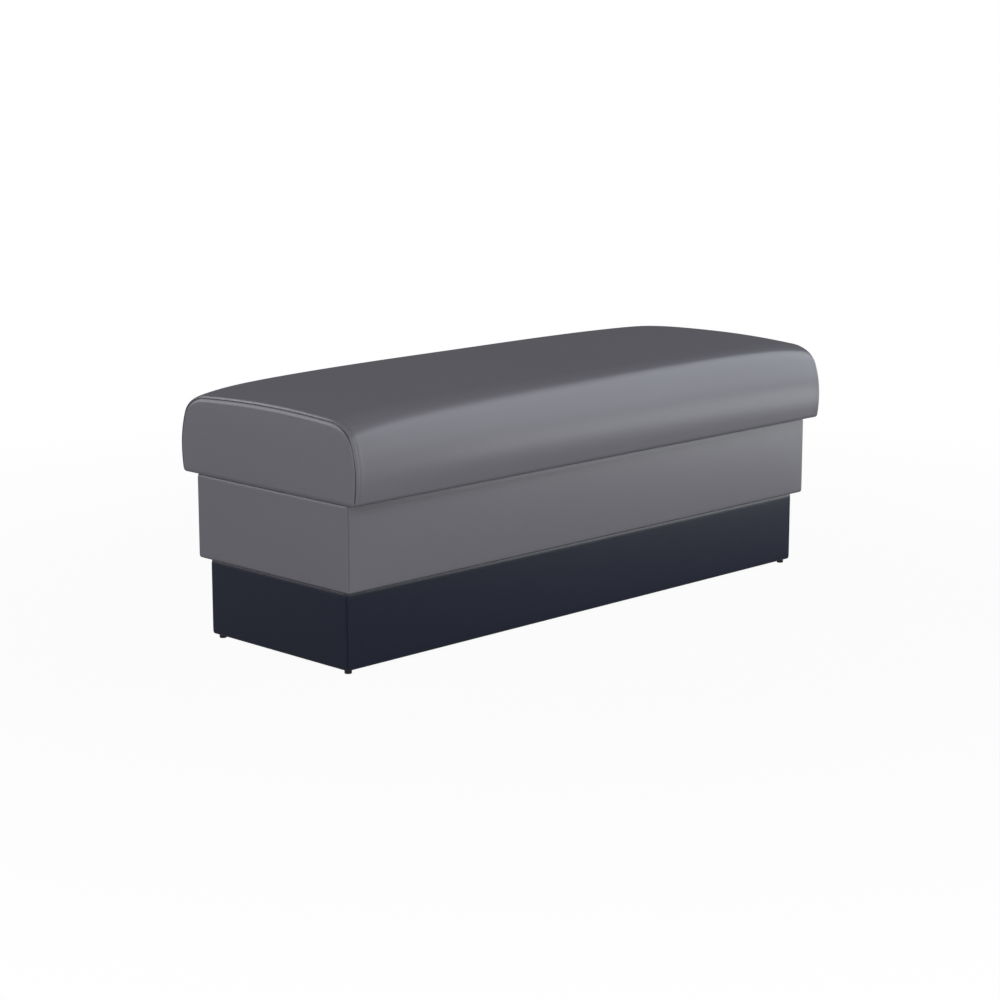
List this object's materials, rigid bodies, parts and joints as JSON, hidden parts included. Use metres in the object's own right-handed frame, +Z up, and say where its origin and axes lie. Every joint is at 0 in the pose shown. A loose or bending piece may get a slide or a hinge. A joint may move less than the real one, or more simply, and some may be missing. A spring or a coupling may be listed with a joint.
{
  "type": "waiting room bench",
  "caption": "Backless upholstered waiting room bench: crowned grey vinyl seat on a grey box and a recessed dark plinth, on small black levelling glides.",
  "frame": {"origin": "on the floor, under the middle of the bench", "axes": "+X along the bench, +Z up, the front faces -Y"},
  "size_m": [1.219, 0.4578, 0.4605],
  "materials": {
    "seat_vinyl": "satin",
    "box_vinyl": "satin",
    "plinth_vinyl": "satin",
    "dust_cloth": "matte",
    "foam": "matte",
    "wadding": "matte",
    "plywood": "matte",
    "timber": "matte",
    "plated_steel": "satin",
    "glide_nylon": "gloss"
  },
  "bodies": {
    "bench": {"box_back_cover": "box_vinyl", "box_back_panel": "plywood", "box_bottom_back_rail": "timber", "box_bottom_front_rail": "timber", "box_bottom_left_rail": "timber", "box_bottom_right_rail": "timber", "box_front_cover": "box_vinyl", "box_front_panel": "plywood", "box_left_cover": "box_vinyl", "box_left_divider": "plywood", "box_left_end_panel": "plywood", "box_padding": "foam", "box_right_cover": "box_vinyl", "box_right_divider": "plywood", "box_right_end_panel": "plywood", "box_screws": "plated_steel", "box_staples": "plated_steel", "box_top_back_rail": "timber", "box_top_front_rail": "timber", "box_top_left_rail": "timber", "box_top_right_rail": "timber", "dust_cover": "dust_cloth", "glide_inserts": "plated_steel", "plinth_back_batten": "timber", "plinth_back_cover": "plinth_vinyl", "plinth_back_rail": "timber", "plinth_corner_blocks": "timber", "plinth_front_batten": "timber", "plinth_front_cover": "plinth_vinyl", "plinth_front_rail": "timber", "plinth_left_cover": "plinth_vinyl", "plinth_left_cross_rail": "timber", "plinth_left_end_rail": "timber", "plinth_padding": "foam", "plinth_right_cover": "plinth_vinyl", "plinth_right_cross_rail": "timber", "plinth_right_end_rail": "timber", "plinth_screws": "plated_steel", "plinth_staples": "plated_steel", "seat_base_foam": "foam", "seat_board": "plywood", "seat_bolts": "plated_steel", "seat_left_end_cover": "seat_vinyl", "seat_main_cover": "seat_vinyl", "seat_right_end_cover": "seat_vinyl", "seat_staples": "plated_steel", "seat_tee_nuts": "plated_steel", "seat_top_foam": "foam", "seat_wadding": "wadding", "seat_washers": "plated_steel", "tier_screws": "plated_steel"},
    "glide_front_left": {"glide_foot_front_left": "glide_nylon", "glide_stem_front_left": "plated_steel"},
    "glide_front_right": {"glide_foot_front_right": "glide_nylon", "glide_stem_front_right": "plated_steel"},
    "glide_back_left": {"glide_foot_back_left": "glide_nylon", "glide_stem_back_left": "plated_steel"},
    "glide_back_right": {"glide_foot_back_right": "glide_nylon", "glide_stem_back_right": "plated_steel"}
  },
  "joints": [
    {"name": "level_front_left", "type": "slide", "parent": "bench", "child": "glide_front_left", "axis": [0, 0, -1], "range_m": [0, 0.01]},
    {"name": "level_front_right", "type": "slide", "parent": "bench", "child": "glide_front_right", "axis": [0, 0, -1], "range_m": [0, 0.01]},
    {"name": "level_back_left", "type": "slide", "parent": "bench", "child": "glide_back_left", "axis": [0, 0, -1], "range_m": [0, 0.01]},
    {"name": "level_back_right", "type": "slide", "parent": "bench", "child": "glide_back_right", "axis": [0, 0, -1], "range_m": [0, 0.01]}
  ]
}
